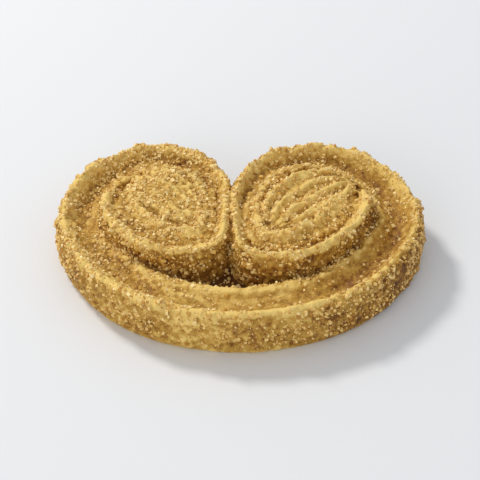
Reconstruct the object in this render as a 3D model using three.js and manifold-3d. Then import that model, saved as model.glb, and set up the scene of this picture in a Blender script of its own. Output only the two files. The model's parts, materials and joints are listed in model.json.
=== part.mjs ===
import * as THREE from "three";
import { mergeVertices } from "three/addons/utils/BufferGeometryUtils.js";
import Module from "manifold-3d";

// A palmier: sugared puff pastry rolled in from both ends, sliced across and baked flat.
// The slice shows one strip on its edge. It runs from the tongue of the left lobe round that lobe,
// along the bottom band, round the right lobe and down the crease between the lobes to its tongue.
// A folded core fills each lobe, and a bed of thin dough closes what is left between the folds.
// Millimetres, +Z up, X across both lobes, the cleft towards +Y, the baked underside on Z = 0.

const STEPS = 5; // steps of a sweep between two stops
const EDGE_ROUND = 1.1; // round between the underside and a strip's wall
const WALL_FULLNESS = 0.3; // how far a wall bulges at mid height
const RIDGE_DEPTH = 0.8; // valley between the two ridges on top of a strip
const SHOULDER_DROP = 0.6;
const TIP_ROUND = 4; // length over which a strip's free end rounds off
const TIP_WIDTH = 0.4; // what is left of its width at the very end
const TIP_DROP = 2.5; // and how much lower it would be at no width
const TIGHTEST_FOLD = 0.85; // share of the bend's radius that the inner half of a strip may take up
const BED = { bottom: 0.7, top: 6.6 }; // between the band and the two tongues
const TONGUE_FILLING = { bottom: 0.7, top: 10.3 }; // between the folds inside a tongue
const PIT = { floor: 2.6, halfWidth: 6, halfWidthAtTop: 15 }; // where the bed dips, in front of the crease

// Stops on the centre line of a strip: x, y, half width, height of its outer edge, and lean, which is
// how much lower its inner edge lies. Each lobe's stops run from the band to the tip of its tongue,
// and x is measured towards that lobe's own side.
const BAND_MIDDLE = [-0.5, -19.8, 5.3, 9.4, 1.9];
const RIGHT_LOBE = {
  side: 1,
  wrap: [
    [15.5, -16, 5.4, 9.4, 2.3],
    [25.4, -7.5, 5.5, 9.5, 2.6],
    [30.2, 3.1, 4.7, 9.6, 2.4],
    [25.9, 14.5, 4, 9.8, 2],
    [16.7, 19.9, 3.6, 9.9, 1.2],
    [7.2, 17.4, 3.5, 10.1, 0.5],
    [2, 9.6, 3.4, 10.5, 0],
    [1.2, 1.2, 3, 10.9, 0],
    [3, -6, 3.8, 11.2, 0],
    [8.8, -7, 4.2, 11.6, 0],
    [15.2, -3.7, 4.5, 11.8, 0],
    [20.4, 2.2, 4.3, 11.6, 0],
    [22.8, 7.2, 3.5, 11.1, 0],
  ],
  core: [
    [20, 12.4, 4.2, 11.2, 0],
    [14.6, 9, 6.4, 12, 0],
    [9.2, 3.8, 5.8, 12.3, 0],
    [6.2, -1, 3.6, 11.8, 0],
  ],
};
const LEFT_LOBE = {
  side: -1,
  wrap: [
    [16.1, -15.8, 5.4, 9.4, 2.3],
    [25.4, -7.2, 5.4, 9.4, 2.6],
    [30, 3.6, 4.6, 9.5, 2.4],
    [26.2, 14.4, 4, 9.7, 2],
    [18, 19.8, 3.6, 9.9, 1.2],
    [9.6, 17.8, 3.6, 10.1, 0.5],
    [5.1, 10.4, 3.5, 10.5, 0],
    [4.6, 2.4, 3, 10.9, 0],
    [6, -4.2, 3.7, 11.3, 0],
    [11, -5.7, 4.2, 11.7, 0],
    [16.8, -3.7, 4.5, 11.9, 0],
    [21.8, 1.6, 4.4, 11.6, 0],
    [24, 7, 3.6, 11.1, 0],
  ],
  core: [
    [20.6, 11.8, 4.4, 11.2, 0],
    [15.6, 9.4, 6.4, 11.9, 0],
    [11.4, 4.8, 5, 12.1, 0],
    [9.4, 0.4, 4.6, 12.3, 0],
  ],
};

const blend = (from, to, share) => from + (to - from) * share;

// A smooth line through stops, with the sizes of the strip worked out between them.
function along(stops) {
  const route = new THREE.CatmullRomCurve3(stops.map(([x, y]) => new THREE.Vector3(x, y, 0)), false, "centripetal");
  const spans = stops.length - 1;
  const line = [];
  for (let i = 0; i <= spans * STEPS; i++) {
    const span = Math.min(Math.floor(i / STEPS), spans - 1);
    const [from, to] = [stops[span], stops[span + 1]];
    const share = THREE.MathUtils.smoothstep(i / STEPS - span, 0, 1);
    const { x, y } = route.getPoint(i / (spans * STEPS));
    const [halfWidth, height, lean] = [2, 3, 4].map((k) => blend(from[k], to[k], share));
    line.push({ x, y, halfWidth, height, lean });
  }
  return line;
}

// The same stops on the lobe's own side. On the left they run the other way, so that the outer side of
// the strip stays on the right of the way along it.
function onSide(lobe, stops) {
  return lobe.side > 0 ? stops : stops.map(([x, ...rest]) => [-x, ...rest]).reverse();
}

// Section of a strip, anticlockwise seen along the strip, as [outwards, up]: flat underneath with
// rounded edges, walls a little full, and two soft ridges with a valley between them on top.
function section(outer, inner, height, lean) {
  const half = (reach, drop) => [
    [Math.max(reach - EDGE_ROUND, reach * 0.3), 0],
    [reach - 0.25 * EDGE_ROUND * Math.min(1, reach), 0.5 * EDGE_ROUND],
    [reach, 0.45 * (height - drop)],
    [reach - WALL_FULLNESS * Math.min(1, reach), height - drop - 2 * SHOULDER_DROP],
    [reach * 0.82, height - drop * 0.82 - 0.4 * SHOULDER_DROP],
    [reach * 0.5, height - drop * 0.5],
    [reach * 0.22, height - drop * 0.22 - 0.6 * RIDGE_DEPTH],
  ];
  const outerHalf = half(outer, 0);
  const innerHalf = half(inner, lean).map(([across, up]) => [-across, up]);
  return [...outerHalf, [0, height - RIDGE_DEPTH], ...innerHalf.reverse()];
}

function headings(stops) {
  return stops.map((stop, i) => {
    const before = stops[Math.max(i - 1, 0)];
    const after = stops[Math.min(i + 1, stops.length - 1)];
    return new THREE.Vector2(after.x - before.x, after.y - before.y).normalize();
  });
}

// Radius of the bend at a stop, positive where the inner side of the strip is inside the bend.
function bendRadius(stops, directions, i) {
  const before = Math.max(i - 1, 0);
  const after = Math.min(i + 1, stops.length - 1);
  const length = Math.hypot(stops[after].x - stops[before].x, stops[after].y - stops[before].y);
  const turned = directions[before].cross(directions[after]);
  return Math.abs(turned) < 1e-6 ? Infinity : length / turned;
}

// Sweeps the section along the stops into one closed mesh, with its free ends rounded off in plan.
function sweep(stops) {
  const directions = headings(stops);
  const reach = [0];
  for (let i = 1; i < stops.length; i++) {
    reach.push(reach[i - 1] + Math.hypot(stops[i].x - stops[i - 1].x, stops[i].y - stops[i - 1].y));
  }
  const length = reach.at(-1);
  const positions = [];
  const rings = stops.map((stop, i) => {
    const fromEnd = Math.min(reach[i], length - reach[i]);
    const open = THREE.MathUtils.clamp(1 - fromEnd / TIP_ROUND, 0, 1);
    const taper = Math.max(TIP_WIDTH, Math.sqrt(1 - open * open));
    const halfWidth = stop.halfWidth * taper;
    const radius = bendRadius(stops, directions, i);
    const inner = radius > 0 ? Math.min(halfWidth, TIGHTEST_FOLD * radius) : halfWidth;
    const outer = radius < 0 ? Math.min(halfWidth, -TIGHTEST_FOLD * radius) : halfWidth;
    const { x, y } = directions[i];
    const loop = section(outer, inner, stop.height - TIP_DROP * (1 - taper), stop.lean);
    const first = positions.length / 3;
    for (const [across, up] of loop) positions.push(stop.x + y * across, stop.y - x * across, up);
    return { first, count: loop.length };
  });
  const indices = [];
  for (let i = 0; i + 1 < rings.length; i++) {
    for (let j = 0; j < rings[i].count; j++) {
      const next = (j + 1) % rings[i].count;
      const [a, b] = [rings[i].first + j, rings[i].first + next];
      const [c, d] = [rings[i + 1].first + j, rings[i + 1].first + next];
      indices.push(a, c, d, a, d, b);
    }
  }
  for (const [ring, stop, reversed] of [[rings[0], stops[0], false], [rings.at(-1), stops.at(-1), true]]) {
    const middle = positions.length / 3;
    positions.push(stop.x, stop.y, stop.height / 2);
    for (let j = 0; j < ring.count; j++) {
      const [a, b] = [ring.first + j, ring.first + ((j + 1) % ring.count)];
      indices.push(middle, reversed ? b : a, reversed ? a : b);
    }
  }
  const geometry = new THREE.BufferGeometry();
  geometry.setAttribute("position", new THREE.Float32BufferAttribute(positions, 3));
  geometry.setIndex(indices);
  return geometry;
}

function slab(line, { bottom, top }) {
  const outline = new THREE.Shape(line.map(({ x, y }) => new THREE.Vector2(x, y)));
  const settings = { depth: top - bottom, bevelEnabled: false, curveSegments: 1 };
  return new THREE.ExtrudeGeometry(outline, settings).translate(0, 0, bottom);
}

// What is taken out of the bed: it is flat in the pit and slopes up to both sides.
function pitCutter() {
  const { floor, halfWidth, halfWidthAtTop } = PIT;
  const section = new THREE.Shape([
    new THREE.Vector2(-halfWidth, floor),
    new THREE.Vector2(halfWidth, floor),
    new THREE.Vector2(halfWidthAtTop, BED.top + 0.01),
    new THREE.Vector2(-halfWidthAtTop, BED.top + 0.01),
  ]);
  const depth = 60; // more than the pastry measures across
  const cutter = new THREE.ExtrudeGeometry(section, { depth, bevelEnabled: false });
  return cutter.rotateX(Math.PI / 2).translate(0, depth / 2, 0);
}

const wasm = await Module();
wasm.setup();

function toSolid(geometry) {
  geometry.deleteAttribute("normal");
  geometry.deleteAttribute("uv");
  const merged = mergeVertices(geometry, 1e-5);
  return new wasm.Manifold(
    new wasm.Mesh({
      numProp: 3,
      vertProperties: new Float32Array(merged.getAttribute("position").array),
      triVerts: new Uint32Array(merged.getIndex().array),
    })
  );
}

function toGeometry(solid) {
  const mesh = solid.getMesh();
  const geometry = new THREE.BufferGeometry();
  geometry.setAttribute("position", new THREE.BufferAttribute(mesh.vertProperties, 3));
  geometry.setIndex(new THREE.BufferAttribute(mesh.triVerts, 1));
  geometry.computeVertexNormals();
  return geometry;
}

const wrap = along([...onSide(LEFT_LOBE, LEFT_LOBE.wrap), BAND_MIDDLE, ...onSide(RIGHT_LOBE, RIGHT_LOBE.wrap)]);
const TONGUE_LENGTH = 6 * STEPS; // from the tip of a tongue to where the strip reaches the cleft
const insideCleft = wrap.slice(TONGUE_LENGTH, wrap.length - TONGUE_LENGTH);
let pastry = toSolid(sweep(wrap)).add(toSolid(slab(insideCleft, BED)).subtract(toSolid(pitCutter())));
for (const tongue of [wrap.slice(0, TONGUE_LENGTH + 1), wrap.slice(-TONGUE_LENGTH - 1)]) {
  pastry = pastry.add(toSolid(slab(tongue, TONGUE_FILLING)));
}
for (const lobe of [RIGHT_LOBE, LEFT_LOBE]) {
  pastry = pastry.add(toSolid(sweep(along(onSide(lobe, lobe.core)))));
}

const bakedPastry = new THREE.MeshStandardMaterial({ color: "#c79c5e", roughness: 0.78, metalness: 0 });
const palmier = new THREE.Mesh(toGeometry(pastry), bakedPastry);
palmier.name = "palmier";

// The origin is the middle of the outline's box, on the underside.
palmier.geometry.computeBoundingBox();
const middle = palmier.geometry.boundingBox.getCenter(new THREE.Vector3());
palmier.geometry.translate(-middle.x, -middle.y, 0);

const group = new THREE.Group();
group.add(palmier);
export default group;
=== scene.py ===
import json
import math

import bpy
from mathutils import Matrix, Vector, noise

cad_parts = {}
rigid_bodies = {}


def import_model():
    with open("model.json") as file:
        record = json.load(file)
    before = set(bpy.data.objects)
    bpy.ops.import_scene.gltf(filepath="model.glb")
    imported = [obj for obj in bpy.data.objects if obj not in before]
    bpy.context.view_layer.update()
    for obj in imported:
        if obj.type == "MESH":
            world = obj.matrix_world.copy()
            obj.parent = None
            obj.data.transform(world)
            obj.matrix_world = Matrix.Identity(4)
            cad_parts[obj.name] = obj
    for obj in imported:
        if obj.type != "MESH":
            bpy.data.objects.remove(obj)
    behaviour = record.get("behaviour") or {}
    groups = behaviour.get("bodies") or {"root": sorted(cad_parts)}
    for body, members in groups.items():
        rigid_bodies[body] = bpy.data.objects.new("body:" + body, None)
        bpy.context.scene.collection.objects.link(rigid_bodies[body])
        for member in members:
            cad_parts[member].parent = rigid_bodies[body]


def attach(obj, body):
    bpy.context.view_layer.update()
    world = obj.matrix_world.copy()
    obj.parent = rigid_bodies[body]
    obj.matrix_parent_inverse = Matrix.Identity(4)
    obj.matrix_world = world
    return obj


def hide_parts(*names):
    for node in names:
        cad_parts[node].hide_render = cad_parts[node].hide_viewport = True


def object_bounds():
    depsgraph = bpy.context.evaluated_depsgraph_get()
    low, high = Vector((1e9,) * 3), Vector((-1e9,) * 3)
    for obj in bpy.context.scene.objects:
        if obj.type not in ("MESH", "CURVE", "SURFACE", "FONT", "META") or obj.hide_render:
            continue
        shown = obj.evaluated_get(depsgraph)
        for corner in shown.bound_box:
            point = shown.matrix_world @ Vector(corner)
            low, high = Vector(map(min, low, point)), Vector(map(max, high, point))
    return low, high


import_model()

cad_low, cad_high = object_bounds()
MM = 0.001


# ---- The roll of dough ------------------------------------------------------------------------------
# A palmier is one long strip of sugared puff pastry, rolled in from both ends and cut across, so the
# slice shows the strip on its edge. It runs from one tongue round both lobes to the other tongue, and a
# folded core is pressed into each lobe. Baking puffs the layers up and glues them where they touch.

# Stops along a strip, in millimetres: x towards the lobe's own side, y, half width, height of the
# outer edge, lean, then shares of sugar and browning. Lean is how much lower the inner edge lies.
BAND_MIDDLE = (-0.5, -19.8, 5.3, 9.3, 1.8, 0.2, 0.05)
RIGHT_LOBE = {
    "side": 1,
    # This wrap browns more than the left one. That is partly real browning and partly painted shade on the
    # inner slope of its ring, which faces away from the light.
    "wrap": [
        (15.5, -16.0, 5.4, 9.3, 2.2, 0.15, 0.5),
        (25.4, -7.5, 5.5, 9.4, 2.5, 0.2, 0.8),
        (30.2, 3.1, 4.7, 9.5, 2.3, 0.25, 0.7),
        (25.9, 14.5, 4.0, 9.7, 1.9, 0.4, 0.5),
        (16.7, 19.9, 3.6, 9.8, 1.2, 0.6, 0.55),
        (7.2, 17.4, 3.5, 10.0, 0.5, 0.8, 0.5),
        (2.0, 9.6, 3.4, 10.4, 0.0, 0.8, 0.35),
        (1.2, 1.2, 3.0, 10.8, 0.0, 0.9, 0.15),
        (3.0, -6.0, 3.8, 10.9, 0.0, 0.9, 0.05),
        (8.8, -7.0, 4.2, 11.0, 0.0, 0.6, 0.1),
        (15.2, -3.7, 4.5, 11.0, 0.0, 0.5, 0.15),
        (20.6, 2.4, 4.3, 11.1, 0.0, 0.4, 0.1),
        (22.4, 9.6, 3.3, 10.8, 0.0, 0.5, 0.15),
    ],
    "core": [
        (21.2, 12.9, 4.4, 10.5, 0.0, 0.6, 0.1),
        (14.6, 9.0, 6.4, 11.1, 0.0, 0.65, 0.0),
        (9.2, 3.8, 5.8, 11.2, 0.0, 0.7, 0.0),
        (6.2, -1.0, 3.6, 11.0, 0.0, 0.8, 0.1),
    ],
}
LEFT_LOBE = {
    "side": -1,
    "wrap": [
        (16.1, -15.8, 5.4, 9.3, 2.2, 0.7, 0.15),
        (25.4, -7.2, 5.4, 9.3, 2.5, 0.95, 0.25),
        (30.0, 3.6, 4.6, 9.4, 2.3, 0.9, 0.35),
        (26.2, 14.4, 4.0, 9.6, 1.9, 0.9, 0.45),
        (18.0, 19.8, 3.6, 9.8, 1.2, 1.0, 0.6),
        (9.6, 17.8, 3.6, 10.0, 0.5, 1.0, 0.6),
        (5.1, 10.4, 3.5, 10.4, 0.0, 0.9, 0.4),
        (4.6, 2.4, 3.0, 10.8, 0.0, 0.9, 0.2),
        (6.0, -4.2, 3.7, 11.0, 0.0, 0.9, 0.1),
        (11.0, -5.7, 4.2, 11.0, 0.0, 1.0, 0.15),
        (16.8, -3.7, 4.5, 11.0, 0.0, 1.0, 0.2),
        (21.9, 2.0, 4.4, 11.1, 0.0, 1.0, 0.2),
        (23.4, 9.2, 3.3, 10.8, 0.0, 1.0, 0.25),
    ],
    "core": [
        (21.6, 12.3, 4.5, 10.5, 0.0, 1.0, 0.2),
        (15.6, 9.4, 6.4, 11.1, 0.0, 1.0, 0.15),
        (11.4, 4.8, 5.0, 11.2, 0.0, 1.0, 0.15),
        (9.4, 0.4, 4.6, 11.3, 0.0, 0.9, 0.0),
    ],
}
STOP_STEPS = 16
TIP_ROUND = 4.5
TIP_WIDTH = 0.25
TIP_DROP = 2.0
TIGHTEST_FOLD = 0.85
SMALLEST_TURN = 1e-6
STRAIGHT_RADIUS = 1e6
# The dough stops this far short of its full width and height, which the sugar and the ridges take up.
ROOM_FOR_SUGAR = 0.38
ROOM_FOR_RIDGES = 0.3


def between(start, end, share):
    return [a + (b - a) * share for a, b in zip(start, end)]


def ease(share):
    return share * share * (3 - 2 * share)


def smooth_line(stops):
    """A smooth line of places through the stops, with their sizes worked out between them."""
    ends = [between(stops[1], stops[0], 2), *stops, between(stops[-2], stops[-1], 2)]
    line = []
    for four in zip(ends, ends[1:], ends[2:], ends[3:]):
        knots = [0.0]
        for here, there in zip(four, four[1:]):
            knots.append(knots[-1] + math.sqrt(math.dist(here[:2], there[:2])))
        for k in range(STOP_STEPS):
            place = knots[1] + (knots[2] - knots[1]) * k / STOP_STEPS
            rows = list(four)
            for reach in (1, 2):
                rows = [
                    between(rows[i], rows[i + 1], (place - knots[i]) / (knots[i + reach] - knots[i]))
                    for i in range(len(rows) - 1)
                ]
            share = (place - knots[1]) / (knots[2] - knots[1])
            line.append(between(rows[0], rows[1], share))
    return line + [list(stops[-1])]


def on_side(lobe, stops):
    """The stops on the lobe's own side. On the left they run the other way, so out is on the right."""
    return stops if lobe["side"] > 0 else [(-x, *rest) for x, *rest in reversed(stops)]


def heading(points, i):
    return (points[min(i + 1, len(points) - 1)] - points[max(i - 1, 0)]).normalized()


def laid_out(stops, core):
    """Rows for each place on a strip. Its reach both ways is cut short in tight bends and at tips."""
    line = smooth_line(stops)
    points = [Vector(place[:2]) for place in line]
    lengths = [0.0]
    for a, b in zip(points, points[1:]):
        lengths.append(lengths[-1] + (b - a).length)
    rows = []
    for i, (_, _, half, height, lean, sugar, browning) in enumerate(line):
        open_end = max(0.0, 1 - min(lengths[i], lengths[-1] - lengths[i]) / TIP_ROUND)
        taper = max(TIP_WIDTH, math.sqrt(max(0.0, 1 - open_end**2)))
        first, last = max(i - 2, 0), min(i + 2, len(line) - 1)
        turned = heading(points, first).cross(heading(points, last))
        radius = STRAIGHT_RADIUS
        if abs(turned) > SMALLEST_TURN:
            radius = (lengths[last] - lengths[first]) / turned
        outer = inner = half * taper
        if radius < 0:
            outer = min(outer, -TIGHTEST_FOLD * radius)
        else:
            inner = min(inner, TIGHTEST_FOLD * radius)
        rows.append({
            "point": points[i],
            "reach_out": outer - ROOM_FOR_SUGAR * taper,
            "reach_in": inner,
            "height": height - TIP_DROP * (1 - taper) - ROOM_FOR_RIDGES,
            "lean": lean,
            "sugar": sugar,
            "browning": browning,
            "core": core,
        })
    return rows


left_wrap, right_wrap = (on_side(lobe, lobe["wrap"]) for lobe in (LEFT_LOBE, RIGHT_LOBE))
folds = [laid_out([*left_wrap, BAND_MIDDLE, *right_wrap], 0.0)]
folds += [laid_out(on_side(lobe, lobe["core"]), 1.0) for lobe in (RIGHT_LOBE, LEFT_LOBE)]
wrap_points = [row["point"] for row in folds[0]]
edge = [
    point + row[reach] * sign * Vector((heading(wrap_points, i).y, -heading(wrap_points, i).x))
    for i, (point, row) in enumerate(zip(wrap_points, folds[0]))
    for reach, sign in (("reach_out", 1), ("reach_in", -1))
]
plan_middle = Vector((
    (max(p.x for p in edge) + min(p.x for p in edge)) / 2,
    (max(p.y for p in edge) + min(p.y for p in edge)) / 2,
))
frame_middle = Vector((cad_low.xy + cad_high.xy) / 2) / MM
STOP_FIELDS = ("reach_out", "reach_in", "height", "lean", "sugar", "browning", "core")


def chains(name, rows_of_chains, fields, closed=False):
    """A mesh of edges only, one chain for each list of rows, with the rows' values as attributes."""
    points, edges, values = [], [], {field: [] for field in fields}
    for rows in rows_of_chains:
        first = len(points)
        for row in rows:
            points.append((*row["point"], 0.0))
            for field in fields:
                values[field].append(row[field])
        edges += [(first + k, first + k + 1) for k in range(len(rows) - 1)]
        if closed:
            edges.append((len(points) - 1, first))
    mesh = bpy.data.meshes.new(name)
    mesh.from_pydata(points, edges, [])
    for field in fields:
        mesh.attributes.new(field, "FLOAT", "POINT").data.foreach_set("value", values[field])
    made = bpy.data.objects.new(name, mesh)
    bpy.context.scene.collection.objects.link(made)
    return made


for rows in folds:
    for row in rows:
        row["point"] = (row["point"] - plan_middle + frame_middle) * MM
        for field in ("reach_out", "reach_in", "height", "lean"):
            row[field] *= MM
pastry = chains("pastry", folds, STOP_FIELDS)

# The section of the strip is a ring of points: across is -1 on the inner wall and 1 on the outer one,
# and up is 0 on the baked underside and 1 on the cut face.
SECTION_TOP = 30
SECTION_WALL = 12
SECTION_CORNER = 8
SECTION_UNDER = 10
CORNER_ACROSS = 0.22
CORNER_UP = 0.13
FOOT_ACROSS = 0.16
FOOT_UP = 0.1
QUARTER_TURN = math.pi / 2


def spread(start, end, count):
    return [start + (end - start) * k / count for k in range(count)]


def rounded(across, up, wide, tall, start):
    """A quarter of an ellipse round a middle, from one angle on."""
    turns = spread(start, start + QUARTER_TURN, SECTION_CORNER)
    return [(across + wide * math.cos(turn), up + tall * math.sin(turn)) for turn in turns]


def section_ring():
    foot, low = 1 - FOOT_ACROSS, FOOT_UP
    shoulder, high = 1 - CORNER_ACROSS, 1 - CORNER_UP
    ring = [(across, 0.0) for across in spread(-foot, foot, SECTION_UNDER)]
    ring += rounded(foot, low, FOOT_ACROSS, FOOT_UP, -QUARTER_TURN)
    ring += [(1.0, up) for up in spread(low, high, SECTION_WALL)]
    ring += rounded(shoulder, high, CORNER_ACROSS, CORNER_UP, 0.0)
    ring += [(across, 1.0) for across in spread(shoulder, -shoulder, SECTION_TOP)]
    ring += rounded(-shoulder, high, CORNER_ACROSS, CORNER_UP, QUARTER_TURN)
    ring += [(-1.0, up) for up in spread(high, low, SECTION_WALL)]
    ring += rounded(-foot, low, FOOT_ACROSS, FOOT_UP, 2 * QUARTER_TURN)
    return ring


ring_rows = [{"point": (a * MM, u * MM), "across": a, "up": u} for a, u in section_ring()]
section = chains("section", [ring_rows], ("across", "up"), closed=True)

# Dough closes the gaps between the folds. The bed is low in the pit between the band and the tongues
# and rises towards both sides, and the heart of each tongue is filled nearly to its top.
BED_CELL = 0.7
BED_UNDERSIDE = 0.5
PIT_FLOOR = 2.6
RIGHT_FLOOR = 5.4
LEFT_FLOOR = 6.8
SIDES_START = 6.0
SIDES_FULL = 15.0
TONGUE_TOP = 10.0
BED_UNEVEN = 0.5
UNEVEN_STEP = 0.31
TONGUE_STOPS = 6
# Shares of sugar and browning on the left side and on the right side of each slab.
BED_CRUST = ((0.35, 0.7), (0.2, 0.9))
LEFT_TONGUE_CRUST = ((0.7, 0.45), (0.7, 0.45))
RIGHT_TONGUE_CRUST = ((0.6, 0.5), (0.6, 0.5))


def bed_height(x):
    side_floor = RIGHT_FLOOR if x > 0 else LEFT_FLOOR
    rise = min(max((abs(x) / MM - SIDES_START) / (SIDES_FULL - SIDES_START), 0.0), 1.0)
    return PIT_FLOOR + (side_floor - PIT_FLOOR) * ease(rise)


def tongue_height(_):
    return TONGUE_TOP


def inside(outline, x, y):
    """Whether a place is inside an outline, by counting how often a line out of it crosses the outline."""
    odd = False
    for (ax, ay), (bx, by) in zip(outline, outline[1:] + outline[:1]):
        if (ay > y) != (by > y) and x < ax + (y - ay) * (bx - ax) / (by - ay):
            odd = not odd
    return odd


def slab(name, outline, height_at, crusts):
    """A closed slab of square cells that fills an outline, with an uneven top."""
    cell = BED_CELL * MM

    def whole_cells(places):
        return range(math.floor(min(places) / cell), math.ceil(max(places) / cell))

    pairs = [tuple(p) for p in outline]
    columns = whole_cells([x for x, _ in pairs])
    rows = whole_cells([y for _, y in pairs])
    cells = {
        (i, j)
        for i in columns
        for j in rows
        if inside(pairs, (i + 0.5) * cell, (j + 0.5) * cell)
    }
    verts, faces, levels, index = [], [], [], {}

    def corner(i, j, level):
        if (i, j, level) not in index:
            index[i, j, level] = len(verts)
            spot = Vector((i * UNEVEN_STEP, j * UNEVEN_STEP, level))
            top = height_at(i * cell) + BED_UNEVEN * noise.noise(spot)
            verts.append((i * cell, j * cell, (top if level else BED_UNDERSIDE) * MM))
            levels.append(float(level))
        return index[i, j, level]

    for i, j in sorted(cells):
        square = [(i, j), (i + 1, j), (i + 1, j + 1), (i, j + 1)]
        faces.append([corner(*p, 1) for p in square])
        faces.append([corner(*p, 0) for p in reversed(square)])
        for k, (di, dj) in enumerate([(0, -1), (1, 0), (0, 1), (-1, 0)]):
            if (i + di, j + dj) not in cells:
                a, b = square[k], square[(k + 1) % 4]
                faces.append([corner(*a, 0), corner(*b, 0), corner(*b, 1), corner(*a, 1)])
    mesh = bpy.data.meshes.new(name)
    mesh.from_pydata(verts, [], faces)
    left, right = crusts
    mesh.attributes.new("up", "FLOAT", "POINT").data.foreach_set("value", levels)
    for k, field in enumerate(("sugar", "browning")):
        values = [right[k] if x > 0 else left[k] for x, _, _ in verts]
        mesh.attributes.new(field, "FLOAT", "POINT").data.foreach_set("value", values)
    made = bpy.data.objects.new(name, mesh)
    bpy.context.scene.collection.objects.link(made)
    return made


TONGUE_LENGTH = TONGUE_STOPS * STOP_STEPS
centre_line = [row["point"] for row in folds[0]]
slabs = bpy.data.collections.new("slabs")
for made in (
    slab("bed", centre_line[TONGUE_LENGTH:-TONGUE_LENGTH], bed_height, BED_CRUST),
    slab("tongue_left", centre_line[:TONGUE_LENGTH], tongue_height, LEFT_TONGUE_CRUST),
    slab("tongue_right", centre_line[-TONGUE_LENGTH:], tongue_height, RIGHT_TONGUE_CRUST),
):
    slabs.objects.link(made)


class Wire:
    """A socket in a node tree. Arithmetic on it adds Math nodes, and make() adds any other node."""

    def __init__(self, tree, socket=None):
        self.tree = tree
        self.socket = socket

    def make(self, kind, inputs, settings=None, output=0):
        node = self.tree.nodes.new(kind)
        for key, value in (settings or {}).items():
            setattr(node, key, value)
        for key, value in inputs.items():
            if isinstance(value, Wire):
                self.tree.links.new(value.socket, node.inputs[key])
            else:
                node.inputs[key].default_value = value
        return Wire(self.tree, node.outputs[output])

    def twin(self, output):
        """Another output of the node that this socket belongs to."""
        return Wire(self.tree, self.socket.node.outputs[output])

    def maths(self, operation, first, second=0.0):
        return self.make("ShaderNodeMath", {0: first, 1: second}, {"operation": operation})

    def __add__(self, other):
        return self.maths("ADD", self, other)

    __radd__ = __add__

    def __sub__(self, other):
        return self.maths("SUBTRACT", self, other)

    def __rsub__(self, other):
        return self.maths("SUBTRACT", other, self)

    def __mul__(self, other):
        return self.maths("MULTIPLY", self, other)

    __rmul__ = __mul__

    def __truediv__(self, other):
        return self.maths("DIVIDE", self, other)

    def __pow__(self, other):
        return self.maths("POWER", self, other)

    def __abs__(self):
        return self.maths("ABSOLUTE", self)

    def at_least(self, other):
        return self.maths("MAXIMUM", self, other)

    def at_most(self, other):
        return self.maths("MINIMUM", self, other)

    def cosine(self):
        return self.maths("COSINE", self)

    def smooth(self, low, high):
        """0 below low, 1 above high and an eased step between."""
        inputs = {0: self, 1: low, 2: high}
        return self.make("ShaderNodeMapRange", inputs, {"interpolation_type": "SMOOTHSTEP"})


def vector(x, y, z):
    wire = next(w for w in (x, y, z) if isinstance(w, Wire))
    return wire.make("ShaderNodeCombineXYZ", {0: x, 1: y, 2: z})


def axes(position):
    """The x, y and z of a position."""
    x = position.make("ShaderNodeSeparateXYZ", {0: position})
    return x, x.twin(1), x.twin(2)


def vector_maths(operation, first, second, output=0):
    key = "Scale" if operation == "SCALE" else 1
    return first.make("ShaderNodeVectorMath", {0: first, key: second}, {"operation": operation}, output)


def grain(position, size, detail=2.0, offset=(0.0, 0.0, 0.0)):
    """Noise from -0.5 to 0.5 with features of about one size, in metres."""
    shifted = vector_maths("ADD", position, offset)
    inputs = {"Vector": shifted, "Scale": 1 / size, "Detail": detail}
    return shifted.make("ShaderNodeTexNoise", inputs) - 0.5


def start_tree(name, sizes):
    """A Geometry Nodes tree with a geometry socket and named inputs, each (name, socket type)."""
    tree = bpy.data.node_groups.new(name, "GeometryNodeTree")
    tree.interface.new_socket("Geometry", in_out="INPUT", socket_type="NodeSocketGeometry")
    tree.interface.new_socket("Geometry", in_out="OUTPUT", socket_type="NodeSocketGeometry")
    for label, kind in sizes:
        tree.interface.new_socket(label, in_out="INPUT", socket_type=kind)
    node = tree.nodes.new("NodeGroupInput")
    return tree, {socket.name: Wire(tree, socket) for socket in node.outputs if socket.name}


def end_tree(geometry, finish):
    """Ends a tree with real meshes that carry their material."""
    geometry = geometry.make("GeometryNodeRealizeInstances", {"Geometry": geometry})
    geometry = geometry.make("GeometryNodeSetMaterial", {"Geometry": geometry, "Material": finish})
    node = geometry.tree.nodes.new("NodeGroupOutput")
    geometry.tree.links.new(geometry.socket, node.inputs[0])


def attribute(wire, name, kind="FLOAT"):
    return wire.make("GeometryNodeInputNamedAttribute", {"Name": name}, {"data_type": kind})


def stored(geometry, name, value, kind="FLOAT", domain="POINT"):
    settings = {"data_type": kind, "domain": domain}
    inputs = {"Geometry": geometry, "Name": name, "Value": value}
    return geometry.make("GeometryNodeStoreNamedAttribute", inputs, settings)


def moved(geometry, key, value):
    """Geometry at a new "Position", or shifted by an "Offset"."""
    return geometry.make("GeometryNodeSetPosition", {"Geometry": geometry, key: value})


def grown(base, steps):
    """Runs trees and remeshes on an object in turn and leaves the result as its plain mesh."""
    for step, values in steps:
        if step == "REMESH":
            modifier = base.modifiers.new("fused", "REMESH")
            modifier.mode = "VOXEL"
            modifier.voxel_size = values
            continue
        modifier = base.modifiers.new(step.name, "NODES")
        modifier.node_group = step
        sockets = [item for item in step.interface.items_tree if item.in_out == "INPUT"]
        identifiers = {socket.name: socket.identifier for socket in sockets}
        for label, value in values.items():
            modifier[identifiers[label]] = value
    evaluated = base.evaluated_get(bpy.context.evaluated_depsgraph_get())
    mesh = bpy.data.meshes.new_from_object(evaluated)
    base.modifiers.clear()
    base.data = mesh


FLOAT, OBJECT, MATERIAL = "NodeSocketFloat", "NodeSocketObject", "NodeSocketMaterial"
COLLECTION, INTEGER = "NodeSocketCollection", "NodeSocketInt"
FULL_TURN = 2 * math.pi

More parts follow.
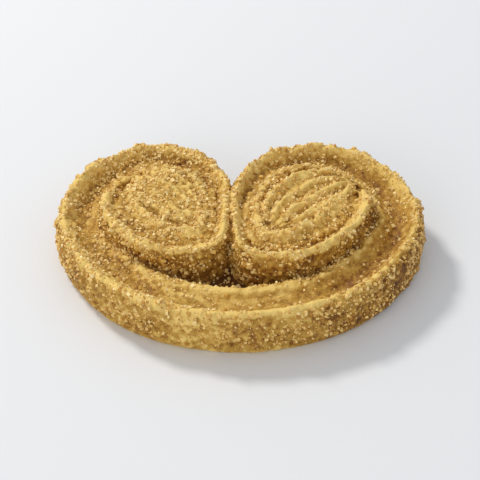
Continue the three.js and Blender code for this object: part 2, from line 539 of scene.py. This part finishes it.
roll, given = start_tree("rolled_strip", [
    ("Section", OBJECT),
    ("Slabs", COLLECTION),
    ("Step", FLOAT),
    ("Crest", FLOAT),
    ("Valley", FLOAT),
    ("Inner ridge", FLOAT),
    ("Core ridge", FLOAT),
    ("Layer pitch", FLOAT),
    ("Layer depth", FLOAT),
    ("Wall fullness", FLOAT),
    ("Swell", FLOAT),
    ("Crust", MATERIAL),
])
UP = (0.0, 0.0, 1.0)
line = given["Geometry"].make("GeometryNodeMeshToCurve", {"Mesh": given["Geometry"]})
inputs = {"Curve": line, "Length": given["Step"]}
line = line.make("GeometryNodeResampleCurve", inputs, {"mode": "LENGTH"})
tangent = line.make("GeometryNodeInputTangent", {})
outward = vector_maths("NORMALIZE", vector_maths("CROSS_PRODUCT", tangent, UP), (0.0, 0.0, 0.0))
line = stored(line, "along", line.make("GeometryNodeSplineParameter", {}, output=1))
line = stored(line, "middle", line.make("GeometryNodeInputPosition", {}), "FLOAT_VECTOR")
line = stored(line, "outward", outward, "FLOAT_VECTOR")
ring = line.make("GeometryNodeObjectInfo", {"Object": given["Section"]}, output=4)
ring = ring.make("GeometryNodeMeshToCurve", {"Mesh": ring})
strip = line.make("GeometryNodeCurveToMesh", {"Curve": line, "Profile Curve": ring, "Fill Caps": True})

across, up, along, core = (attribute(strip, name) for name in ("across", "up", "along", "core"))
is_outer = across.maths("GREATER_THAN", across, 0.0)
reach = attribute(strip, "reach_in") * (1 - is_outer) + attribute(strip, "reach_out") * is_outer
height = attribute(strip, "height") - attribute(strip, "lean") * (1 - across) / 2
middle = attribute(strip, "middle", "FLOAT_VECTOR")
outward = attribute(strip, "outward", "FLOAT_VECTOR")
face = up.smooth(0.8, 1.0)
wall = abs(across).smooth(0.8, 1.0) * up.smooth(0.0, 0.12)
lateral = across * reach
place = vector_maths("ADD", middle, vector_maths("SCALE", outward, lateral))
place = vector_maths("ADD", place, vector(0.0, 0.0, up * height))


def hump(centre, width):
    """1 at one place across the strip, falling to 0 at a width from it."""
    return (1 - abs(across - centre) / width).smooth(0.0, 1.0)


# The cut face of the strip has a crest along its outer edge, a hollow, and a thinner inner ridge, and
# the face of a core has four ridges. Fine lines of flaky layers run along both, and all of them come
# and go along the strip. Where sugar lies thick the ridges are lower.
CREST_AT, CREST_WIDTH = 0.78, 0.36
INNER_RIDGE_AT, INNER_RIDGE_WIDTH = -0.74, 0.32
VALLEY_AT, VALLEY_WIDTH = 0.02, 0.72
CORE_RIDGES = 4
SWELL_SIZE = 11 * MM
UNEVEN_SIZE = 9 * MM
WANDER_SIZE = 7 * MM
WANDER_ACROSS = 1.5 * MM
LAYER_PATCH_SIZE = 5 * MM
sugared = attribute(strip, "sugar")
swell = grain(place, SWELL_SIZE) * given["Swell"]
uneven = grain(vector(along, core, 0.0), UNEVEN_SIZE, offset=(0.0, 0.3, 0.0)) * 1.4 + 1
wander = grain(vector(along, across * WANDER_ACROSS, 0.0), WANDER_SIZE)
crest = hump(CREST_AT, CREST_WIDTH) * given["Crest"]
inner_ridge = hump(INNER_RIDGE_AT, INNER_RIDGE_WIDTH) * given["Inner ridge"]
valley = hump(VALLEY_AT, VALLEY_WIDTH) * given["Valley"]
wrapped = (crest + inner_ridge - valley) * (1.2 - sugared * 0.4)
cored = ((across + 1) * (CORE_RIDGES / 2 * FULL_TURN)).cosine() * given["Core ridge"]
cored = cored * (2.3 - sugared * 1.9) * -1
layers = ((lateral / given["Layer pitch"] + wander * 1.6) * FULL_TURN).cosine() * given["Layer depth"]
layer_patches = grain(place, LAYER_PATCH_SIZE, 1.0, (0.3, 0.0, 0.0)) + 0.35 + core * 0.35
layers = layers * layer_patches.at_least(0.0)
ridges = (wrapped * (1 - core) + cored * core) * uneven
lift = face * (ridges + layers + swell)
belly = (1 - (up * 2 - 1) * (up * 2 - 1)) * given["Wall fullness"]
push = wall * across * (belly + swell * 0.8)
puffed = vector_maths("ADD", place, vector_maths("SCALE", outward, push))
puffed = vector_maths("ADD", puffed, vector(0.0, 0.0, lift))
strip = moved(strip, "Position", puffed)
strip = strip.make("GeometryNodeFlipFaces", {"Mesh": strip})
beds = strip.make("GeometryNodeCollectionInfo", {"Collection": given["Slabs"]})
joined = strip.make("GeometryNodeJoinGeometry", {})
for part in (beds, strip):
    roll.links.new(part.socket, joined.socket.node.inputs[0])
end_tree(joined, given["Crust"])

# Baking fuses the folds where they touch, blisters the sugared faces and leaves the underside flat.
bake, given = start_tree("baked_surface", [
    ("Folds", OBJECT),
    ("Softening", INTEGER),
    ("Blisters", FLOAT),
    ("Crumbs", FLOAT),
    ("Crease reach", INTEGER),
    ("Crust", MATERIAL),
])
FOLD_FIELDS = ("across", "up", "sugar", "browning", "core", "along")
CLEAR_OF_TRAY = 1.6 * MM
BLISTER_SIZE = 2.8 * MM
CRUMB_SIZE = 1.0 * MM


def blurred(value, rounds):
    inputs = {"Value": value, "Iterations": rounds}
    return value.make("GeometryNodeBlurAttribute", inputs, {"data_type": "FLOAT_VECTOR"})


dough = given["Geometry"]
source = dough.make("GeometryNodeObjectInfo", {"Object": given["Folds"]}, output=4)
place = dough.make("GeometryNodeInputPosition", {})
for name in FOLD_FIELDS:
    inputs = {"Mesh": source, "Value": attribute(dough, name), "Sample Position": place}
    nearest = dough.make("GeometryNodeSampleNearestSurface", inputs, {"data_type": "FLOAT"})
    dough = stored(dough, name, nearest)
dough = moved(dough, "Position", blurred(place, given["Softening"]))
across, sugar = attribute(dough, "across"), attribute(dough, "sugar")
normal = dough.make("GeometryNodeInputNormal", {})
x, y, z = axes(place)
crusted = (sugar * 0.8 + abs(across).smooth(0.45, 0.95) * 0.9 + 0.15).at_most(1.25)
blisters = grain(place, BLISTER_SIZE, 1.0, (0.1, 0.0, 0.0)) * given["Blisters"]
crumbs = grain(place, CRUMB_SIZE, 2.0, (0.0, 0.2, 0.0)) * given["Crumbs"]
push = (blisters + crumbs) * crusted * z.smooth(0.0, CLEAR_OF_TRAY)
dough = moved(dough, "Offset", vector_maths("SCALE", normal, push))
dough = moved(dough, "Position", vector(x, y, z.at_least(0.0)))
# How far each place stands out from its smoothed surroundings. The crust uses it for painted highlight on
# ridges and painted shade in creases.
standing = vector_maths("SUBTRACT", place, blurred(place, given["Crease reach"]))
proud = vector_maths("DOT_PRODUCT", standing, normal, output=1)
dough = stored(dough, "relief", proud / MM)
dough = dough.make("GeometryNodeSetShadeSmooth", {"Geometry": dough})
end_tree(dough, given["Crust"])

# The crust is dry golden dough, browner on rims and walls, with a thin broken glaze of melted sugar. It is
# painted paler on crests and ridges as highlight, darker in creases and hollows as shade, and darkest in
# the pit, as painted shade and caramel.
PALE = (0.86, 0.60, 0.175, 1.0)
GOLDEN = (0.545, 0.305, 0.048, 1.0)
BROWN = (0.28, 0.115, 0.012, 1.0)
CARAMEL_AND_SHADE = (0.10, 0.03, 0.004, 1.0)
PATCH_SIZE = 7 * MM
SPECKLE_SIZE = 1.3 * MM
FLECK_SIZE = 0.5 * MM
GLAZE_SIZE = 2.4 * MM
PORE_SIZE = 0.35 * MM
PORE_DEPTH = 0.35 * MM
# Lengths along the roll from its middle, where the wrap turns into the tongues, whose walls are darker.
HALF_ROLL = 127 * MM
TONGUE_NEARS = 79 * MM
TONGUE_STARTS = 90 * MM
PIT_BOTTOM = 2.5 * MM
PIT_MOUTH = 5 * MM


def material(name):
    made = bpy.data.materials.new(name)
    made.use_nodes = True
    made.node_tree.nodes.clear()
    return made, Wire(made.node_tree)


def mixed(share, first, second):
    """The first colour where the share is 0 and the second where it is 1."""
    inputs = {0: share, 6: first, 7: second}
    return share.make("ShaderNodeMix", inputs, {"data_type": "RGBA"}, output=2)


def shader_attribute(wire, name):
    return wire.make("ShaderNodeAttribute", {}, {"attribute_name": name}, output=2)


def finished(wire, inputs, constants):
    """Ends a material. Inputs hold what varies over the surface, and constants what doesn't."""
    shader = wire.make("ShaderNodeBsdfPrincipled", {**inputs, **constants})
    node = wire.tree.nodes.new("ShaderNodeOutputMaterial")
    wire.tree.links.new(shader.socket, node.inputs["Surface"])


crust, ink = material("baked_crust")
where = ink.make("ShaderNodeTexCoord", {}, output=3)
patches = grain(where, PATCH_SIZE, 3.0)
speckle = grain(where, SPECKLE_SIZE, 4.0, (0.5, 0.0, 0.0))
flecks = grain(where, FLECK_SIZE, 2.0, (0.0, 0.7, 0.0))
relief = shader_attribute(ink, "relief")
along = shader_attribute(ink, "along")
up, across = shader_attribute(ink, "up"), shader_attribute(ink, "across")
browning, core = shader_attribute(ink, "browning"), shader_attribute(ink, "core")
walls = (1 - up.smooth(0.78, 1.0)).at_least(abs(across).smooth(0.86, 1.0))
rim = abs(across).smooth(0.55, 0.98)
# Painted shade and highlight: where a strip browns, the hollow down its middle is darker, as shade on the
# inner slope that faces away from the light, and the crest is paler, as highlight where the light catches
# it.
hollow = (1 - abs(across)).smooth(0.1, 0.9) * browning
crest = across.smooth(0.25, 0.6) * (1 - across.smooth(0.9, 1.0)) * (1 - browning) * (1 - core)
tongue = abs(along - HALF_ROLL).smooth(TONGUE_NEARS, TONGUE_STARTS) * (1 - core)
_, _, level = axes(where)
# Low on the cut face, in the pit between the band and the tongues, the crust is painted dark, as shade
# that falls there and as caramel.
pit = up.smooth(0.9, 1.0) * (1 - level.smooth(PIT_BOTTOM, PIT_MOUTH))
# The sum puts real toasting of walls, rims and browning strips together with painted light: shade in the
# pit, the hollows and the middle of each strip, and highlight on the crest.
toast_and_painted_light = walls * (tongue * 0.35 + 0.35) + rim * browning * 0.65 + browning * 0.3 + pit * 1.1
# The middle of every strip is painted a little darker as shade, and the crest paler as highlight.
toast_and_painted_light = toast_and_painted_light + hollow * 0.5 + (1 - abs(across)) * 0.15 - crest * 0.62
# Random patches and speckle vary the tone, and places that stand out are painted paler and creases darker,
# as painted highlight and shade.
toast_and_painted_light = toast_and_painted_light + patches * (walls * 0.9 + 0.8) + speckle * 1.7 - relief * 1.3
char_and_painted_light = toast_and_painted_light + flecks * 1.3
colour = mixed(toast_and_painted_light.smooth(-0.2, 0.5), PALE, GOLDEN)
colour = mixed(char_and_painted_light.smooth(0.3, 1.1), colour, BROWN)
# The darkest places, most of all the pit, take a deep brown that is partly caramel and partly painted
# shade.
colour = mixed(char_and_painted_light.smooth(0.9, 1.6) * 0.85, colour, CARAMEL_AND_SHADE)
glaze = (grain(where, GLAZE_SIZE, 2.0, (0.2, 0.2, 0.9)) + relief * 0.1).smooth(-0.05, 0.2)
pores = grain(where, PORE_SIZE, 3.0, (0.9, 0.0, 0.0)) * 0.6 + speckle * 0.8
normal = pores.make("ShaderNodeBump", {"Height": pores, "Distance": PORE_DEPTH, "Strength": 0.9})
finished(
    ink,
    {"Base Color": colour, "Roughness": 0.72 - glaze * 0.3, "Normal": normal},
    {"Specular IOR Level": 0.35},
)

grown(pastry, [(roll, {
    "Section": section,
    "Slabs": slabs,
    "Step": 0.45 * MM,
    "Crest": 1.0 * MM,
    "Valley": 1.6 * MM,
    "Inner ridge": 0.6 * MM,
    "Core ridge": 0.68 * MM,
    "Layer pitch": 1.6 * MM,
    "Layer depth": 0.36 * MM,
    "Wall fullness": 0.35 * MM,
    "Swell": 1.5 * MM,
    "Crust": crust,
})])
shaped = bpy.data.objects.new("shaped", pastry.data.copy())
bpy.context.scene.collection.objects.link(shaped)
FUSED_CELL = 0.36 * MM
grown(pastry, [("REMESH", FUSED_CELL), (bake, {
    "Folds": shaped,
    "Softening": 1,
    "Blisters": 1.15 * MM,
    "Crumbs": 1.05 * MM,
    "Crease reach": 12,
    "Crust": crust,
})])
for used in (section, shaped, *slabs.objects):
    bpy.data.objects.remove(used)

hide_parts("palmier")
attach(pastry, "root")


# ---- Sugar ------------------------------------------------------------------------------------------
# The dough is rolled out on coarse sugar, which crusts the cut face. Most grains stay golden and
# clear-edged, and those on the rims and outer walls melt a little and turn to brown caramel.

# How far each kind of crystal is chipped at its corners, which are taken in turn.
CRYSTAL_CORNERS = {
    "sharp": (1.0, 0.9, 1.0),
    "chipped": (0.75, 1.0, 0.6, 0.95),
    "worn": (0.7, 0.8, 1.0, 0.55, 0.9),
}


def crystal(name, corners):
    """A squat crystal: a box with unequal corners."""
    verts = []
    for k, (x, y, z) in enumerate((x, y, z) for x in (-1, 1) for y in (-1, 1) for z in (-1, 1)):
        wide = corners[k % len(corners)]
        tall = corners[(k + 2) % len(corners)]
        verts.append((x * wide / 2, y / 2, z * tall / 2))
    faces = [(0, 1, 3, 2), (4, 6, 7, 5), (0, 4, 5, 1), (2, 3, 7, 6), (0, 2, 6, 4), (1, 5, 7, 3)]
    mesh = bpy.data.meshes.new(name)
    mesh.from_pydata(verts, [], faces)
    made = bpy.data.objects.new(name, mesh)
    bpy.context.scene.collection.objects.link(made)
    return made


crystals = bpy.data.collections.new("crystals")
for name, corners in CRYSTAL_CORNERS.items():
    crystals.objects.link(crystal(name, corners))

DRIFT_SIZE = 6 * MM
FEW_ARE_LARGE = 2.2
THINNEST = (0.75, 0.6, 0.55)
STOUTEST = (1.15, 1.1, 1.0)
scatter, given = start_tree("sugar_scatter", [
    ("Dough", OBJECT),
    ("Crystals", COLLECTION),
    ("Density", FLOAT),
    ("Smallest", FLOAT),
    ("Largest", FLOAT),
    ("Sunk", FLOAT),
    ("On rims", FLOAT),
    ("Seed", INTEGER),
    ("Sugar", MATERIAL),
])
dough = given["Dough"].make("GeometryNodeObjectInfo", {"Object": given["Dough"]}, output=4)
up, across, sugar, browning = (attribute(dough, name) for name in ("up", "across", "sugar", "browning"))
_, _, facing_up = axes(dough.make("GeometryNodeInputNormal", {}))
place = dough.make("GeometryNodeInputPosition", {})
on_top = facing_up.smooth(-0.05, 0.6)
on_rim = abs(across).smooth(0.5, 0.95) * up.smooth(0.1, 0.3)
drifts = grain(place, DRIFT_SIZE, 2.0, (0.4, 0.4, 0.0)).smooth(-0.16, 0.12) * 0.75 + 0.25
rim_share = (browning * 0.8 + 0.25).at_most(1.0) * on_rim
share = (on_top * sugar * (1 - given["On rims"]) + rim_share * given["On rims"]) * drifts
points = dough.make(
    "GeometryNodeDistributePointsOnFaces",
    {"Mesh": dough, "Density": given["Density"] * share, "Seed": given["Seed"]},
)
out_of_dough = points.twin("Normal")


def drawn(wire, low, high, seed, kind="FLOAT"):
    """A random value for each grain."""
    keys = {"FLOAT": (2, 3, 1), "FLOAT_VECTOR": (0, 1, 0), "INT": (4, 5, 2)}[kind]
    inputs = {keys[0]: low, keys[1]: high, "Seed": seed}
    return wire.make("FunctionNodeRandomValue", inputs, {"data_type": kind}, output=keys[2])


share = drawn(dough, 0.0, 1.0, 3) ** FEW_ARE_LARGE
size = given["Smallest"] + (given["Largest"] - given["Smallest"]) * share
stretch = drawn(dough, THINNEST, STOUTEST, 5, "FLOAT_VECTOR")
spin = drawn(dough, (0.0, 0.0, 0.0), (FULL_TURN, FULL_TURN, FULL_TURN), 7, "FLOAT_VECTOR")
points = stored(points, "size", size)
size = attribute(points, "size")
lift = vector_maths("SCALE", out_of_dough, size * (0.5 - given["Sunk"]))
points = moved(points, "Offset", lift)
chosen = points.make(
    "GeometryNodeCollectionInfo",
    {"Collection": given["Crystals"], "Separate Children": True, "Reset Children": True},
)
placed = points.make("GeometryNodeInstanceOnPoints", {
    "Points": points,
    "Instance": chosen,
    "Pick Instance": True,
    "Instance Index": drawn(points, 0, len(CRYSTAL_CORNERS) - 1, 11, "INT"),
    "Rotation": spin,
    "Scale": vector_maths("SCALE", stretch, size),
})
placed = stored(placed, "tint", drawn(points, 0.0, 1.0, 13), domain="INSTANCE")
end_tree(placed, given["Sugar"])


CLOUD_SIZE = 0.4 * MM
FACET_DEPTH = 0.1 * MM
SMALLEST_GRAIN = 0.26 * MM
SUNK = 0.44


def sugar_finish(name, light, dark):
    made, ink = material(name)
    tint = shader_attribute(ink, "tint")
    where = ink.make("ShaderNodeTexCoord", {}, output=3)
    cloud = grain(where, CLOUD_SIZE)
    colour = mixed((tint + cloud * 0.5).smooth(0.25, 0.95), light, dark)
    normal = cloud.make("ShaderNodeBump", {"Height": cloud, "Distance": FACET_DEPTH, "Strength": 0.5})
    finished(
        ink,
        {"Base Color": colour, "Roughness": cloud * 0.3 + 0.42, "Normal": normal},
        {"Specular IOR Level": 0.35, "IOR": 1.54},
    )
    return made


# Name, seed, share on the rims, grains on a square metre, largest grain, light colour, dark colour.
for name, seed, on_rims, density, largest, light, dark in (
    ("golden_sugar", 21, 0.0, 3.8e6, 0.74 * MM, (0.92, 0.70, 0.30, 1.0), (0.70, 0.42, 0.095, 1.0)),
    ("caramel_sugar", 34, 1.0, 4.4e6, 0.70 * MM, (0.88, 0.61, 0.21, 1.0), (0.54, 0.27, 0.045, 1.0)),
):
    grains = bpy.data.objects.new(name, bpy.data.meshes.new(name))
    bpy.context.scene.collection.objects.link(grains)
    grown(grains, [(scatter, {
        "Dough": pastry,
        "Crystals": crystals,
        "Density": density,
        "Smallest": SMALLEST_GRAIN,
        "Largest": largest,
        "Sunk": SUNK,
        "On rims": on_rims,
        "Seed": seed,
        "Sugar": sugar_finish(name, light, dark),
    })])
    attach(grains, "root")
for used in list(crystals.objects):
    bpy.data.objects.remove(used)


# ---- Floor, light and camera ------------------------------------------------------------------------
# The pastry lies on a plain pale floor under a soft light from behind and to the left, and the camera
# looks down on it from the front.

FLOOR_REACH = 3.0
FLOOR_GAP = 0.1 * MM
FLOOR_PATCHES = 0.3
FLOOR_TONES = ((0.80, 0.81, 0.835, 1.0), (0.83, 0.84, 0.86, 1.0))
floor_corners = [(-1, -1), (1, -1), (1, 1), (-1, 1)]
floor_mesh = bpy.data.meshes.new("floor")
floor_mesh.from_pydata(
    [(x * FLOOR_REACH, y * FLOOR_REACH, 0) for x, y in floor_corners],
    [],
    [(0, 1, 2, 3)],
)
floor = bpy.data.objects.new("floor", floor_mesh)
floor.location.z = cad_low.z - FLOOR_GAP
bpy.context.scene.collection.objects.link(floor)
paper, ink = material("pale_floor")
where = ink.make("ShaderNodeTexCoord", {}, output=3)
tone = mixed(grain(where, FLOOR_PATCHES, 1.0) + 0.5, *FLOOR_TONES)
finished(ink, {"Base Color": tone}, {"Roughness": 0.8, "Specular IOR Level": 0.2})
floor_mesh.materials.append(paper)

SKY_COLOUR = (0.94, 0.97, 1.0, 1.0)
SKY_POWER = 0.6
LAMP_COLOUR = (1.0, 0.97, 0.92)
scene = bpy.context.scene
scene.view_settings.view_transform = "Standard"
scene.world = bpy.data.worlds.new("studio")
scene.world.use_nodes = True
backdrop = scene.world.node_tree.nodes["Background"]
backdrop.inputs["Color"].default_value = SKY_COLOUR
backdrop.inputs["Strength"].default_value = SKY_POWER

middle = (cad_low + cad_high) / 2
# Name, place, width and power of each lamp.
for name, place, size, power in (
    ("key", (-0.34, 0.34, 0.5), 0.13, 2.5),
    ("fill", (-0.3, -0.5, 0.22), 0.5, 0.9),
):
    lamp = bpy.data.lights.new(name, "AREA")
    lamp.shape = "DISK"
    lamp.size = size
    lamp.energy = power
    lamp.color = LAMP_COLOUR
    light = bpy.data.objects.new(name, lamp)
    light.location = place
    light.rotation_euler = (middle - Vector(place)).to_track_quat("-Z", "Y").to_euler()
    scene.collection.objects.link(light)

VIEW_ELEVATION = math.radians(43)
VIEW_DISTANCE = 0.34
VIEW_LENS = 135
NEAREST_SEEN = 0.01
lens = bpy.data.cameras.new("camera")
lens.lens = VIEW_LENS
lens.clip_start = NEAREST_SEEN
camera = bpy.data.objects.new("camera", lens)
back = Vector((0.0, -math.cos(VIEW_ELEVATION), math.sin(VIEW_ELEVATION)))
camera.location = middle + back * VIEW_DISTANCE
camera.rotation_euler = (-back).to_track_quat("-Z", "Y").to_euler()
scene.collection.objects.link(camera)
scene.camera = camera
